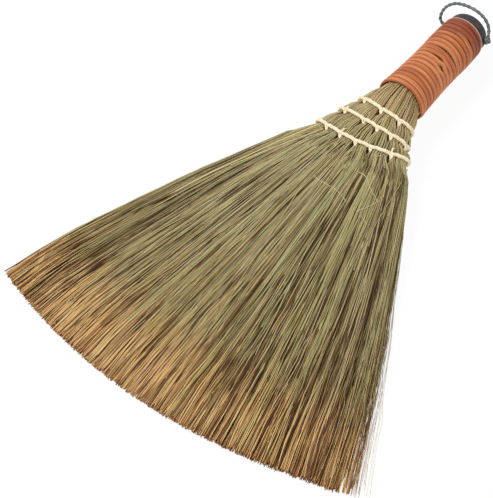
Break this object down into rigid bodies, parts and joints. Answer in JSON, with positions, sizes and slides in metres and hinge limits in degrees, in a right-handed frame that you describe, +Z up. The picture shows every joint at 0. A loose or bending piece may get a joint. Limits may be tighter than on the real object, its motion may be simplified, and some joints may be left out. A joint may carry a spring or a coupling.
{
  "type": "hand broom",
  "caption": "Hand broom: a flat fan of dry grass fibres sewn with rows of twine, a cane-wound handle, a black end cap and a cord loop to hang it by.",
  "frame": {"origin": "middle of the part's box seen from above, on the surface that its flat belly lies on", "axes": "+Y along the handle towards the end cap, +X across the fan, +Z up from the belly"},
  "size_m": [0.2574, 0.371, 0.0446],
  "materials": {
    "grass_fibre": "dry olive to honey grass fibres, dull, with streaks",
    "cotton_twine": "natural cream twisted twine, matt",
    "rattan_cane": "orange-brown cane, satin",
    "cap_plastic": "black moulded plastic, matt",
    "loop_cord": "dark grey twisted cord, matt",
    "binding_wire": "plain steel wire, hidden"
  },
  "bodies": {
    "broom": {"fibre_bundle_1": "grass_fibre", "fibre_bundle_2": "grass_fibre", "fibre_bundle_3": "grass_fibre", "fibre_bundle_4": "grass_fibre", "fibre_bundle_5": "grass_fibre", "fibre_bundle_6": "grass_fibre", "upper_binding": "binding_wire", "lower_binding": "binding_wire", "end_cap": "cap_plastic", "rattan_wrap": "rattan_cane", "stitch_band_1": "cotton_twine", "stitch_band_2": "cotton_twine", "stitch_band_3": "cotton_twine", "cross_stitches_1": "cotton_twine", "cross_stitches_2": "cotton_twine", "cross_stitches_3": "cotton_twine"},
    "loop": {"hanging_loop": "loop_cord", "loop_knot": "loop_cord"}
  },
  "joints": [
    {"name": "loop_swing", "type": "hinge", "parent": "broom", "child": "loop", "pos_m": [-0.0075, 0.1795, 0.0186], "axis": [1, 0, 0], "range_deg": [-200, 40]}
  ]
}
